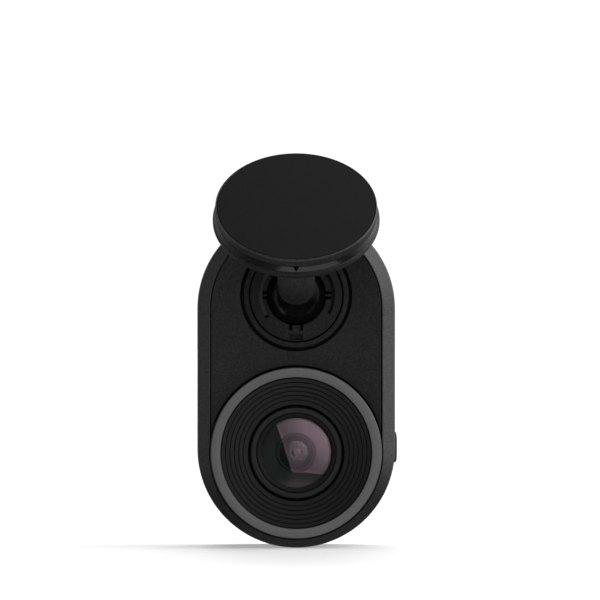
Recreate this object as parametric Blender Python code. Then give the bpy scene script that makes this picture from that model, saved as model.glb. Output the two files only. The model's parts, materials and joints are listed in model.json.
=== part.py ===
"""Dash camera on a ball-jointed windscreen mount, in metres, +Z up.

The row frame's origin is the centre of the mount's adhesive face. The lens looks along -Y and the
camera's right-hand side, seen from the front, is +X. Lengths below are millimetres times MM.
"""

import math

import bmesh
import bpy
from mathutils import Matrix, Vector

MM = 0.001

# Clearances between separate pieces.
GAP = 0.3 * MM
FINE_GAP = 0.15 * MM

# How many flat sides a round piece has.
LARGE_SIDES = 40
BALL_SIDES = 32
SMALL_SIDES = 24
HOLE_SIDES = 12
HALF_ARC_STEPS = 20

# Mount: a disc whose adhesive face is tilted back, a bent stem and a ball.
FACE_TILT = math.radians(48.0)
PAD_RADIUS = 12.4 * MM
PAD_THICKNESS = 0.5 * MM
PLATE_RADIUS = 12.67 * MM
PLATE_BACK = 1.33 * MM
BASE_RADIUS = 13.07 * MM
BASE_BACK = 3.7 * MM
NOTCH_WIDTH = 0.97 * MM
NOTCH_LENGTH = 0.95 * MM
BALL_RADIUS = 4.9 * MM
BALL_CENTRE = Vector((0.0, 10.0 * MM, -13.92 * MM))
STEM_RADIUS = 2.9 * MM
STEM_TILT = math.radians(18.0)
STEM_STRAIGHT = 7.0 * MM
STEM_BEND_RADIUS = 8.0 * MM

# Camera body: a slab with two round ends. Depths run back from the ball's centre, heights up from it.
BODY_RADIUS = 15.55 * MM
BODY_SPAN = 22.1 * MM
TOP_ARC_HEIGHT = -2.06 * MM
WALL = 1.55 * MM
PANEL_DEPTH = -2.5 * MM
PANEL_RADIUS = 13.3 * MM
PANEL_THICKNESS = 1.2 * MM
CHAMFER = 1.75 * MM
EDGE_ROUNDING = 0.3 * MM
COVER_DEPTH = 22.3 * MM
BODY_BACK = 24.9 * MM
COVER_ROUNDING = 1.6 * MM

# Ball socket in the body's upper round end, turned about the lens direction.
SOCKET_RADIUS = BALL_RADIUS + FINE_GAP
APERTURE_RADIUS = 4.65 * MM
SOCKET_RING_RADIUS = 7.15 * MM
COLLAR_INNER = 7.46 * MM
COLLAR_OUTER = 8.1 * MM
COLLAR_FLANGE = 10.2 * MM
SOCKET_HOLE = 8.8 * MM
SLOT_WIDTH = 0.42 * MM
SLOT_REACH = 5.55 * MM

# Lens, centred a little below the middle of the body's lower round end.
LENS_HEIGHT = -24.78 * MM
BEZEL_OUTER = 13.46 * MM
BEZEL_INNER = 11.84 * MM
BEZEL_FRONT = -4.3 * MM
BEZEL_BACK = -2.2 * MM
BEZEL_BEVEL = 0.3 * MM
HOOD_OUTER = 11.7 * MM
HOOD_INNER = 7.6 * MM
HOOD_FRONT = -3.8 * MM
HOOD_TERRACES = 6
TERRACE_SLOPE = 0.12 * MM
TERRACE_RISE = 0.25 * MM
BARREL_RADIUS = 7.18 * MM
BARREL_FRONT = -1.5 * MM
THREAD_RADIUS = 6.0 * MM
FRONT_LENS_RADIUS = 5.6 * MM
FRONT_LENS_BACK = 1.7 * MM
INNER_LENS_RADIUS = 4.0 * MM

# Electronics. The main board stands across the body, and its connectors are on its rear face.
MAIN_BOARD = (16.1 * MM, 17.1 * MM)
CAMERA_BOARD = (13.1 * MM, 14.1 * MM)
PORT_HEIGHT = -18.4 * MM
CARD_HEIGHT = -7.6 * MM
CARD_SIZE = Vector((15.0, 0.9, 11.0)) * MM
CARD_FRONT = 17.9 * MM
CARD_OUTER_X = 15.05 * MM
BUTTON_DEPTH = 10.0 * MM
BUTTON_HEIGHT = -24.0 * MM
BUTTON_SIZE = (8.0 * MM, 4.9 * MM)
BUTTON_OUTER_X = 15.95 * MM
PIPE_HEIGHT = 5.0 * MM
PIPE_RADIUS = 0.9 * MM
MICROPHONE = (-8.0 * MM, -2.0 * MM)
SPEAKER_HEIGHT = -31.2 * MM


def clear_scene():
    for item in list(bpy.data.objects):
        bpy.data.objects.remove(item, do_unlink=True)


def finish(name, colour, roughness, metallic=0.0):
    """A Principled material with one colour."""
    material = bpy.data.materials.new(name)
    material.use_nodes = True
    shader = material.node_tree.nodes["Principled BSDF"]
    shader.inputs["Base Color"].default_value = (*colour, 1.0)
    shader.inputs["Roughness"].default_value = roughness
    shader.inputs["Metallic"].default_value = metallic
    return material


def make_finishes():
    return {
        "shell": finish("shell", (0.022, 0.022, 0.023), 0.5),
        "panel": finish("panel", (0.014, 0.014, 0.015), 0.6),
        "ring": finish("ring", (0.1, 0.1, 0.1), 0.4, 1.0),
        "hood": finish("hood", (0.012, 0.012, 0.012), 0.65),
        "barrel": finish("barrel", (0.016, 0.016, 0.016), 0.45, 0.6),
        "glass": finish("glass", (0.10, 0.07, 0.09), 0.05),
        "mount": finish("mount", (0.016, 0.016, 0.016), 0.55),
        "adhesive": finish("adhesive", (0.015, 0.015, 0.015), 0.85),
        "ball": finish("ball", (0.008, 0.008, 0.008), 0.15),
        "board": finish("board", (0.01, 0.12, 0.05), 0.5),
        "chip": finish("chip", (0.02, 0.02, 0.022), 0.45),
        "steel": finish("steel", (0.6, 0.6, 0.6), 0.3, 1.0),
        "copper": finish("copper", (0.7, 0.4, 0.2), 0.35, 1.0),
        "cell": finish("cell", (0.5, 0.52, 0.55), 0.4, 0.3),
        "lamp": finish("lamp", (0.8, 0.85, 0.8), 0.2),
        "label": finish("label", (0.1, 0.1, 0.12), 0.35),
    }


def empty(name, location=(0.0, 0.0, 0.0), tilt=0.0):
    """A frame that pieces hang from, tilted about X."""
    frame = bpy.data.objects.new(name, None)
    frame.location = location
    frame.rotation_euler.x = tilt
    bpy.context.collection.objects.link(frame)
    return frame


def add_object(name, shape, parent, location=(0.0, 0.0, 0.0), material=None):
    """Closes the bmesh into a named object, smooth except at real edges."""
    bmesh.ops.recalc_face_normals(shape, faces=shape.faces)
    mesh = bpy.data.meshes.new(name)
    shape.to_mesh(mesh)
    shape.free()
    item = bpy.data.objects.new(name, mesh)
    bpy.context.collection.objects.link(item)
    item.parent = parent
    item.location = location
    mesh.shade_smooth()
    mesh.set_sharp_from_angle(angle=math.radians(30))
    if material:
        mesh.materials.append(material)
    return item


def as_cutter(item):
    item.hide_render = True
    item.display_type = "WIRE"
    return item


def boolean(item, tool, operation="DIFFERENCE"):
    modifier = item.modifiers.new(tool.name, "BOOLEAN")
    modifier.operation = operation
    modifier.object = tool
    as_cutter(tool)


def turned(profile, sides):
    """A solid turned about Y from a closed outline of (radius, depth) points."""
    shape = bmesh.new()
    points = [shape.verts.new((radius, depth, 0.0)) for radius, depth in profile]
    edges = [shape.edges.new(pair) for pair in zip(points, points[1:])]
    if profile[0][0] > 0.0 or profile[-1][0] > 0.0:
        edges.append(shape.edges.new((points[-1], points[0])))
    bmesh.ops.spin(
        shape,
        geom=points + edges,
        cent=(0.0, 0.0, 0.0),
        axis=(0.0, 1.0, 0.0),
        angle=2.0 * math.pi,
        steps=sides,
        use_merge=True,
    )
    bmesh.ops.remove_doubles(shape, verts=shape.verts, dist=0.001 * MM)
    return shape


def arc(centre_depth, radius, start, end, steps):
    """Outline points on a circle centred on the axis; angles are measured from +Y, the back."""
    angles = [start + (end - start) * i / steps for i in range(steps + 1)]
    return [
        (abs(radius * math.sin(a)), centre_depth + radius * math.cos(a)) for a in angles
    ]


def dome(vertex_depth, curvature, edge_radius, steps):
    """Outline points from the axis out to edge_radius on a spherical face.

    A positive curvature bulges towards the front.
    """
    side = math.copysign(1.0, curvature)
    span = math.asin(edge_radius / abs(curvature))
    points = []
    for i in range(steps + 1):
        angle = span * i / steps
        sag = abs(curvature) * (1.0 - math.cos(angle))
        points.append((abs(curvature) * math.sin(angle), vertex_depth + side * sag))
    points[0] = (0.0, vertex_depth)
    return points


def stadium(radius, depth):
    """The body's outline grown or shrunk to the given end radius, at one depth."""
    points = []
    for centre, start in ((TOP_ARC_HEIGHT, 0.0), (TOP_ARC_HEIGHT - BODY_SPAN, math.pi)):
        for i in range(HALF_ARC_STEPS + 1):
            angle = start + math.pi * i / HALF_ARC_STEPS
            points.append(
                (radius * math.cos(angle), depth, centre + radius * math.sin(angle))
            )
    return points


def rounded_rectangle(half_y, half_z, corner, x):
    """An outline across X with round corners."""
    points = []
    corner_steps = 4
    for quarter in range(4):
        centre_y = (half_y - corner) * (1 if quarter in (0, 3) else -1)
        centre_z = (half_z - corner) * (1 if quarter in (0, 1) else -1)
        for i in range(corner_steps + 1):
            angle = math.pi / 2 * (quarter + i / corner_steps)
            points.append(
                (x, centre_y + corner * math.cos(angle), centre_z + corner * math.sin(angle))
            )
    return points


def lofted(outlines, closed=False):
    """A solid through outlines with equal point counts, capped at its ends unless it is a ring."""
    shape = bmesh.new()
    loops = [[shape.verts.new(point) for point in outline] for outline in outlines]
    pairs = list(zip(loops, loops[1:]))
    if closed:
        pairs.append((loops[-1], loops[0]))
    for first, second in pairs:
        for i in range(len(first)):
            shape.faces.new((first[i - 1], first[i], second[i], second[i - 1]))
    if not closed:
        shape.faces.new(loops[0])
        shape.faces.new(loops[-1])
    return shape


def blocks(corners):
    """Boxes between pairs of corners, in metres."""
    shape = bmesh.new()
    for low, high in corners:
        low, high = Vector(low), Vector(high)
        place = Matrix.Translation((low + high) / 2) @ Matrix.Diagonal((*(high - low), 1.0))
        bmesh.ops.create_cube(shape, size=1.0, matrix=place)
    return shape


def block(low, high):
    """One box between two corners, in millimetres."""
    return blocks([(Vector(low) * MM, Vector(high) * MM)])


def rod(radius, front, back, sides=HOLE_SIDES):
    """A cylinder along Y."""
    return turned([(0.0, front), (radius, front), (radius, back), (0.0, back)], sides)


def extruded(outline, half_width):
    """A solid of the given width along X from a (depth, height) outline."""
    return lofted([[(x, y, z) for y, z in outline] for x in (-half_width, half_width)])


# ---------------------------------------------------------------- mount


def stem_path():
    """Centre line of the stem in the Y-Z plane, from inside the ball to the disc's back."""
    start = 3.0 * MM
    bend_steps = 7
    heading = STEM_TILT
    point = Vector((0.0, -math.cos(heading), math.sin(heading)))
    path = [(BALL_CENTRE + point * start, heading)]
    corner = BALL_CENTRE + point * STEM_STRAIGHT
    turn_side = Vector((0.0, math.sin(heading), math.cos(heading)))
    centre = corner + turn_side * STEM_BEND_RADIUS
    for i in range(bend_steps + 1):
        angle = heading + (FACE_TILT - heading) * i / bend_steps
        outward = Vector((0.0, -math.sin(angle), -math.cos(angle)))
        path.append((centre + outward * STEM_BEND_RADIUS, angle))
    normal = Vector((0.0, -math.cos(FACE_TILT), math.sin(FACE_TILT)))
    last = path[-1][0]
    rest = -(BASE_BACK + FINE_GAP) - normal.dot(last)
    path.append((last + normal * rest, FACE_TILT))
    return path


def make_stem(parent, looks):
    rings = []
    for point, heading in stem_path():
        across = Vector((0.0, math.sin(heading), math.cos(heading)))
        ring = []
        for i in range(SMALL_SIDES):
            angle = 2.0 * math.pi * i / SMALL_SIDES
            side = Vector((math.cos(angle), 0.0, 0.0)) + across * math.sin(angle)
            ring.append(point + side * STEM_RADIUS)
        rings.append(ring)
    stem = add_object("mount_stem", lofted(rings), parent, material=looks["mount"])
    seat = bmesh.new()
    bmesh.ops.create_uvsphere(
        seat, u_segments=BALL_SIDES, v_segments=BALL_SIDES // 2, radius=SOCKET_RADIUS
    )
    boolean(stem, add_object("ball_seat_cutter", seat, parent, BALL_CENTRE))


def make_disc(parent, looks):
    """Adhesive pad, plate and base, turned about the pad's normal."""
    tilted = empty("disc_frame", tilt=-FACE_TILT)
    tilted.parent = parent
    pad = rod(PAD_RADIUS, 0.0, PAD_THICKNESS, LARGE_SIDES)
    add_object("adhesive_pad", pad, tilted, material=looks["adhesive"])

    front = PAD_THICKNESS + FINE_GAP
    edge = 0.15 * MM
    plate = [
        (0.0, front),
        (PLATE_RADIUS - edge, front),
        (PLATE_RADIUS, front + edge),
        (PLATE_RADIUS, PLATE_BACK),
        (0.0, PLATE_BACK),
    ]
    add_object("mount_plate", turned(plate, LARGE_SIDES), tilted, material=looks["mount"])

    base_front = PLATE_BACK + FINE_GAP
    step = PLATE_BACK + NOTCH_LENGTH
    base = [
        (0.0, base_front),
        (PLATE_RADIUS + FINE_GAP, base_front),
        (PLATE_RADIUS + FINE_GAP, step),
        (BASE_RADIUS, step + GAP),
        (BASE_RADIUS, BASE_BACK - 0.6 * MM),
        (BASE_RADIUS - GAP, BASE_BACK),
        (0.0, BASE_BACK),
    ]
    body = add_object("mount_base", turned(base, LARGE_SIDES), tilted, material=looks["mount"])
    depth = 0.5 * MM
    rim = PLATE_RADIUS + FINE_GAP
    half = NOTCH_WIDTH / 2
    outline = [
        (-half, base_front - GAP),
        (half, base_front - GAP),
        (half, base_front),
        (0.0, base_front + NOTCH_LENGTH - GAP),
        (-half, base_front),
    ]
    notch = lofted([[(x, y, z) for x, y in outline] for z in (-rim - depth, -rim + depth)])
    boolean(body, add_object("notch_cutter", notch, tilted))


def make_ball(parent, looks):
    shape = bmesh.new()
    bmesh.ops.create_uvsphere(
        shape, u_segments=BALL_SIDES, v_segments=BALL_SIDES // 2, radius=BALL_RADIUS
    )
    add_object("mount_ball", shape, parent, material=looks["ball"])


# ---------------------------------------------------------------- body shells


def make_housing(camera, looks):
    """Tube-like shell with a chamfered front rim, a ledge for the panel and openings on its side."""
    seat = PANEL_RADIUS + 0.25 * MM
    ledge = PANEL_DEPTH + PANEL_THICKNESS + GAP
    inner = BODY_RADIUS - WALL
    chamfer_end = BODY_RADIUS - EDGE_ROUNDING * 0.4
    sections = [
        (seat, PANEL_DEPTH),
        (chamfer_end, PANEL_DEPTH + CHAMFER),
        (BODY_RADIUS, PANEL_DEPTH + CHAMFER + EDGE_ROUNDING * 1.4),
        (BODY_RADIUS, COVER_DEPTH),
        (inner, COVER_DEPTH),
        (inner, ledge + 1.3 * MM),
        (seat - 0.95 * MM, ledge + 1.3 * MM),
        (seat - 0.95 * MM, ledge),
        (seat, ledge),
    ]
    shape = lofted([stadium(radius, depth) for radius, depth in sections], closed=True)
    housing = add_object("main_housing", shape, camera, material=looks["shell"])
    pocket = rod(BEZEL_OUTER + GAP, BEZEL_FRONT - GAP, ledge, LARGE_SIDES)
    boolean(housing, add_object("bezel_pocket_cutter", pocket, camera, (0, 0, LENS_HEIGHT)))
    out = BODY_RADIUS + 1.0 * MM
    mid = inner - 1.0 * MM
    openings = [
        ((mid, 17.2 * MM, PORT_HEIGHT - 4.1 * MM), (out, 20.4 * MM, PORT_HEIGHT + 4.1 * MM)),
        ((mid, 17.6 * MM, CARD_HEIGHT - 5.8 * MM), (out, 19.1 * MM, CARD_HEIGHT + 5.8 * MM)),
    ]
    boolean(housing, add_object("port_cutter", blocks(openings), camera))
    half_y, half_z = (size / 2 + 0.2 * MM for size in BUTTON_SIZE)
    hole = lofted([rounded_rectangle(half_y, half_z, 1.4 * MM, x) for x in (mid, out)])
    place = (0.0, BUTTON_DEPTH, BUTTON_HEIGHT)
    boolean(housing, add_object("button_cutter", hole, camera, place))


def make_panel(camera, looks):
    """Inset front plate, cut away around the lens ring and the ball socket."""
    depths = (PANEL_DEPTH, PANEL_DEPTH + PANEL_THICKNESS)
    shape = lofted([stadium(PANEL_RADIUS, depth) for depth in depths])
    panel = add_object("front_panel", shape, camera, material=looks["panel"])
    ring = rod(BEZEL_OUTER + GAP, depths[0] - GAP, depths[1] + GAP, LARGE_SIDES)
    boolean(panel, add_object("panel_ring_cutter", ring, camera, (0, 0, LENS_HEIGHT)))
    hole = rod(SOCKET_HOLE, depths[0] - GAP, depths[1] + GAP, LARGE_SIDES)
    boolean(panel, add_object("panel_socket_cutter", hole, camera))


def make_rear_cover(camera, looks):
    """Cap with a rounded edge, a lip inside the housing and holes for light and sound."""
    inner = BODY_RADIUS - WALL
    lip = inner - GAP
    front = COVER_DEPTH + GAP
    sections = [
        (lip - 0.8 * MM, BODY_BACK - 1.6 * MM),
        (lip - 0.8 * MM, COVER_DEPTH - 1.4 * MM),
        (lip, COVER_DEPTH - 1.4 * MM),
        (lip, front),
        (BODY_RADIUS, front),
    ]
    rounding_steps = 4
    for i in range(rounding_steps + 1):
        angle = math.pi / 2 * i / rounding_steps
        radius = BODY_RADIUS - COVER_ROUNDING * (1.0 - math.cos(angle))
        sections.append((radius, BODY_BACK - COVER_ROUNDING * (1.0 - math.sin(angle))))
    shape = lofted([stadium(radius, depth) for radius, depth in sections])
    cover = add_object("rear_cover", shape, camera, material=looks["shell"])
    holes = [(0.0, PIPE_HEIGHT, PIPE_RADIUS + GAP), (*MICROPHONE, 0.5 * MM)]
    spacing = 2.0 * MM
    holes += [(i * spacing, SPEAKER_HEIGHT, 0.5 * MM) for i in range(-2, 3)]
    for number, (x, z, radius) in enumerate(holes):
        cutter = rod(radius, COVER_DEPTH, BODY_BACK + GAP)
        boolean(cover, add_object(f"cover_hole_cutter_{number}", cutter, camera, (x, 0, z)))


# ---------------------------------------------------------------- ball socket


def make_socket(camera, cup_frame, looks):
    """Slotted retaining ring, collar, spring washer and the cup that the ball turns in."""
    aperture_depth = -math.sqrt(SOCKET_RADIUS**2 - APERTURE_RADIUS**2)
    front = -2.2 * MM
    back = -0.4 * MM
    start = math.pi - math.asin(APERTURE_RADIUS / SOCKET_RADIUS)
    end = math.acos(back / SOCKET_RADIUS)
    profile = arc(0.0, SOCKET_RADIUS, end, start, 4)
    profile += [(APERTURE_RADIUS + 0.05 * MM, front)]
    profile += [(SOCKET_RING_RADIUS, front), (SOCKET_RING_RADIUS, back)]
    ring = add_object("socket_ring", turned(profile, LARGE_SIDES), camera, material=looks["hood"])
    boolean(ring, add_object("slot_cutter", socket_slots(front, aperture_depth), camera))

    flange_front = PANEL_DEPTH + PANEL_THICKNESS + GAP
    collar = [
        (COLLAR_INNER, -2.35 * MM),
        (COLLAR_OUTER, -2.35 * MM),
        (COLLAR_OUTER, flange_front),
        (COLLAR_FLANGE, flange_front),
        (COLLAR_FLANGE, flange_front + 1.0 * MM),
        (COLLAR_OUTER, flange_front + 1.0 * MM),
        (COLLAR_OUTER, 8.3 * MM),
        (0.0, 8.3 * MM),
    ]
    collar = [(0.0, 7.5 * MM), (COLLAR_INNER, 7.5 * MM)] + collar
    add_object("socket_collar", turned(collar, LARGE_SIDES), camera, material=looks["hood"])

    washer = [(4.5, 6.6), (6.8, 6.6), (6.8, 7.2), (4.5, 7.2)]
    washer = [(radius * MM, depth * MM) for radius, depth in washer]
    add_object("spring_washer", turned(washer, SMALL_SIDES), camera, material=looks["steel"])

    cup_back = 6.3 * MM
    cup_radius = 6.9 * MM
    cup = [(0.0, cup_back), (cup_radius, cup_back), (cup_radius, 0.0)]
    inside = arc(0.0, SOCKET_RADIUS, math.pi / 2, 0.0, 7)
    inside[-1] = (0.0, SOCKET_RADIUS)
    add_object("socket_cup", turned(cup + inside, BALL_SIDES), cup_frame, material=looks["chip"])


def socket_slots(front, aperture_depth):
    """Four pairs of slots from the aperture outwards; the bottom and top pairs bound a wide tab."""
    low, high = front - GAP, aperture_depth + 1.2 * MM
    near, far = APERTURE_RADIUS - 0.5 * MM, SLOT_REACH
    half = SLOT_WIDTH / 2
    corners = []
    for side in (-1, 1):
        for offset in (-0.37 * MM, 0.37 * MM):
            xs = sorted((side * near, side * far))
            corners.append(((xs[0], low, offset - half), (xs[1], high, offset + half)))
        for offset in (-0.85 * MM, 0.85 * MM):
            zs = sorted((side * near, side * far))
            corners.append(((offset - half, low, zs[0]), (offset + half, high, zs[1])))
    return blocks(corners)


# ---------------------------------------------------------------- lens


def make_bezel_and_hood(lens, looks):
    bezel = [
        (BEZEL_INNER, BEZEL_FRONT + BEZEL_BEVEL),
        (BEZEL_INNER + BEZEL_BEVEL, BEZEL_FRONT),
        (BEZEL_OUTER - BEZEL_BEVEL, BEZEL_FRONT),
        (BEZEL_OUTER, BEZEL_FRONT + BEZEL_BEVEL),
        (BEZEL_OUTER, BEZEL_BACK),
        (BEZEL_INNER, BEZEL_BACK),
    ]
    add_object("bezel_ring", turned(bezel, LARGE_SIDES), lens, material=looks["ring"])

    profile = []
    width = (HOOD_OUTER - HOOD_INNER) / HOOD_TERRACES
    for i in range(HOOD_TERRACES):
        radius = HOOD_OUTER - i * width
        depth = HOOD_FRONT + i * (TERRACE_SLOPE + TERRACE_RISE)
        profile += [(radius, depth), (radius - width, depth + TERRACE_SLOPE)]
    neck_back = 1.5 * MM
    neck_radius = 8.8 * MM
    flange_back = -1.3 * MM
    flange_radius = 13.4 * MM
    profile += [
        (HOOD_INNER, neck_back),
        (neck_radius, neck_back),
        (neck_radius, flange_back),
        (flange_radius, flange_back),
        (flange_radius, BEZEL_BACK + GAP),
        (HOOD_OUTER, BEZEL_BACK + GAP),
    ]
    add_object("lens_hood", turned(profile, LARGE_SIDES), lens, material=looks["hood"])


def make_barrel(lens, looks):
    bore = INNER_LENS_RADIUS + GAP
    pocket = FRONT_LENS_RADIUS + GAP
    counterbore = 6.4 * MM
    shoulder, thread_end = 2.6 * MM, 10.4 * MM
    outline = [
        (counterbore, BARREL_FRONT),
        (BARREL_RADIUS, BARREL_FRONT),
        (BARREL_RADIUS, shoulder),
        (THREAD_RADIUS, shoulder),
        (THREAD_RADIUS, thread_end),
        (bore, thread_end),
        (bore, FRONT_LENS_BACK + GAP),
        (pocket, FRONT_LENS_BACK + GAP),
        (pocket, BARREL_FRONT + 1.0 * MM),
        (counterbore, BARREL_FRONT + 1.0 * MM),
    ]
    add_object("lens_barrel", turned(outline, BALL_SIDES), lens, material=looks["barrel"])
    retainer = [(5.75, -1.3), (5.85, -1.4), (6.2, -1.4), (6.2, -0.75), (5.75, -0.75)]
    retainer = [(radius * MM, depth * MM) for radius, depth in retainer]
    add_object("lens_retainer", turned(retainer, BALL_SIDES), lens, material=looks["barrel"])


def make_lenses(lens, looks):
    """A domed negative front element, then three small elements with a stop between them."""
    hollow_radius = 4.2 * MM
    front = dome(-2.35 * MM, 14.0 * MM, FRONT_LENS_RADIUS, 5)
    hollow = dome(-0.6 * MM, 4.98 * MM, hollow_radius, 5)
    rim = [(FRONT_LENS_RADIUS, FRONT_LENS_BACK), (hollow_radius, FRONT_LENS_BACK)]
    outline = front + rim + hollow[-2::-1]
    add_object("front_lens", turned(outline, BALL_SIDES), lens, material=looks["glass"])

    elements = {
        "second_lens": (2.3, 4.0, 9.0, -12.0),
        "third_lens": (5.1, 7.1, 8.0, -8.0),
        "fourth_lens": (7.4, 9.6, 10.0, -9.0),
    }
    for name, (first, last, front_curve, back_curve) in elements.items():
        near = dome(first * MM, front_curve * MM, INNER_LENS_RADIUS - GAP, 3)
        far = dome(last * MM, back_curve * MM, INNER_LENS_RADIUS - GAP, 3)
        item = turned(near + far[::-1], SMALL_SIDES)
        add_object(name, item, lens, material=looks["glass"])
    stop = [(1.6, 4.3), (4.0, 4.3), (4.0, 4.8), (1.6, 4.8)]
    stop = [(radius * MM, depth * MM) for radius, depth in stop]
    add_object("aperture_stop", turned(stop, SMALL_SIDES), lens, material=looks["hood"])


def make_camera_module(lens, looks):
    """Holder, filter, sensor and board behind the barrel, with the two screws that join them."""
    holder_shape = block((-8.5, 4.0, -8.5), (8.5, 12.8, 8.5))
    holder = add_object("lens_holder", holder_shape, lens, material=looks["chip"])
    bore = rod(THREAD_RADIUS + GAP, 3.0 * MM, 10.7 * MM, LARGE_SIDES)
    boolean(holder, add_object("holder_bore_cutter", bore, lens))
    cavity = block((-5.4, 10.0, -5.4), (5.4, 13.5, 5.4))
    boolean(holder, add_object("holder_cavity_cutter", cavity, lens))
    filter_shape = block((-4.2, 10.95, -4.2), (4.2, 11.4, 4.2))
    add_object("ir_filter", filter_shape, lens, material=looks["glass"])
    sensor = block((-4.0, 11.8, -3.4), (4.0, 12.8, 3.4))
    add_object("image_sensor", sensor, lens, material=looks["chip"])
    board_shape = block((-8.5, CAMERA_BOARD[0] / MM, -9.7), (8.5, CAMERA_BOARD[1] / MM, 10.3))
    board = add_object("camera_board", board_shape, lens, material=looks["board"])
    corner = 6.9 * MM
    for number, side in enumerate((1, -1), 1):
        place = (side * corner, 0.0, side * corner)
        drill = add_object(f"screw_hole_cutter_{number}", rod(0.8 * MM, 9.0 * MM, 15 * MM), lens, place)
        boolean(holder, drill)
        boolean(board, drill)
        head, tip = CAMERA_BOARD[1] + FINE_GAP, 9.5 * MM
        profile = [(0.0, tip), (0.55 * MM, tip), (0.55 * MM, head), (1.1 * MM, head)]
        profile += [(1.1 * MM, head + 0.5 * MM), (0.0, head + 0.5 * MM)]
        screw = turned(profile, HOLE_SIDES)
        add_object(f"module_screw_{number}", screw, lens, place, looks["steel"])
    make_flex(lens, looks)


def make_flex(lens, looks):
    """Flat cable folded once between the two boards."""
    front, back = CAMERA_BOARD[1] + FINE_GAP, MAIN_BOARD[0] - FINE_GAP
    thickness = 0.2 * MM
    middle = (front + back) / 2
    top, fold = -7.0 * MM, -9.6 * MM
    outer, inner = (back - front) / 2, (back - front) / 2 - thickness
    steps = 8
    outline = [(middle + outer, top)]
    for radius, order in ((outer, 1), (inner, -1)):
        angles = [-math.pi * i / steps for i in range(steps + 1)][::order]
        for angle in angles:
            outline.append((middle + radius * math.cos(angle), fold + radius * math.sin(angle)))
        if order == 1:
            outline += [(middle - outer, top), (middle - inner, top)]
    outline.append((middle + inner, top))
    add_object("flex_cable", extruded(outline, 3.0 * MM), lens, material=looks["copper"])


# ---------------------------------------------------------------- electronics


def make_main_board(camera, looks):
    board_radius = 13.2 * MM
    board = lofted([stadium(board_radius, depth) for depth in MAIN_BOARD])
    add_object("main_board", board, camera, material=looks["board"])
    boxes = {
        "processor": ((-5.0, 14.7, -29.5), (5.0, 15.8, -19.5), "chip"),
        "memory_chip": ((-10.5, 17.4, -18.0), (-3.0, 18.4, -8.0), "chip"),
        "microphone": ((-9.5, 17.4, -3.4), (-6.5, 18.5, -0.6), "steel"),
        "speaker": ((-5.5, 17.5, -35.0), (5.5, 20.3, -27.5), "chip"),
        "status_led": ((-0.8, 17.4, 4.4), (0.8, 18.0, 5.6), "lamp"),
        "backup_battery": ((-9.5, 8.7, -10.5), (9.5, 14.3, 7.5), "cell"),
    }
    for name, (low, high, look) in boxes.items():
        add_object(name, block(low, high), camera, material=looks[look])
    can = block((-12.0, 17.4, -25.0), (-1.8, 19.4, -5.0))
    can = add_object("shield_can", can, camera, material=looks["steel"])
    inside = block((-11.7, 17.0, -24.7), (-2.1, 19.1, -5.3))
    boolean(can, add_object("can_cutter", inside, camera))
    pipe = rod(PIPE_RADIUS, 18.3 * MM, BODY_BACK - FINE_GAP, HOLE_SIDES)
    add_object("light_pipe", pipe, camera, (0, 0, PIPE_HEIGHT), looks["lamp"])


def make_antenna(camera, looks):
    """Curved strip inside the body's upper round end."""
    inner, outer = 13.35, 13.7
    front, back = 9.0 * MM, 19.0 * MM
    steps = 10
    start, end = math.radians(50), math.radians(130)
    shape = bmesh.new()
    corners = [(inner, front), (outer, front), (outer, back), (inner, back)]
    points = [shape.verts.new((radius * MM, depth, 0.0)) for radius, depth in corners]
    face = shape.faces.new(points)
    turn = Matrix.Rotation(-start, 3, "Y")
    bmesh.ops.rotate(shape, verts=points, matrix=turn)
    bmesh.ops.spin(
        shape,
        geom=points + list(face.edges) + [face],
        cent=(0.0, 0.0, 0.0),
        axis=(0.0, -1.0, 0.0),
        angle=end - start,
        steps=steps,
    )
    add_object("wifi_antenna", shape, camera, (0, 0, TOP_ARC_HEIGHT), looks["copper"])


def make_connectors(camera, looks):
    """Power and data port, and the memory card's holder, both open on the body's side."""
    middle = PORT_HEIGHT / MM
    port = block((9.6, 17.5, middle - 3.75), (15.2, 20.1, middle + 3.75))
    port = add_object("usb_port", port, camera, material=looks["steel"])
    inside = block((10.4, 17.85, middle - 3.4), (16.0, 19.75, middle + 3.4))
    boolean(port, add_object("port_inside_cutter", inside, camera))
    tongue = block((9.9, 18.35, middle - 2.4), (14.4, 18.95, middle + 2.4))
    boolean(port, add_object("port_tongue", tongue, camera), "UNION")

    middle = CARD_HEIGHT / MM
    holder = block((-1.2, 17.4, middle - 6.3), (13.4, 19.6, middle + 6.3))
    holder = add_object("card_connector", holder, camera, material=looks["steel"])
    slot = block((-0.8, 17.65, middle - 5.8), (14.0, 19.05, middle + 5.8))
    boolean(holder, add_object("card_slot_cutter", slot, camera))


def make_card(card_frame, looks):
    """Memory card, whose outline steps in along one long side."""
    length, thickness, width = CARD_SIZE
    notch = 1.3 * MM
    outline = [
        (0.0, -width / 2),
        (-length, -width / 2),
        (-length, width / 2 - notch),
        (-length + 6.0 * MM, width / 2 - notch),
        (-length + 7.0 * MM, width / 2),
        (0.0, width / 2),
    ]
    shape = lofted([[(x, y, z) for x, z in outline] for y in (0.0, thickness)])
    add_object("memory_card", shape, card_frame, material=looks["label"])


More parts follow.
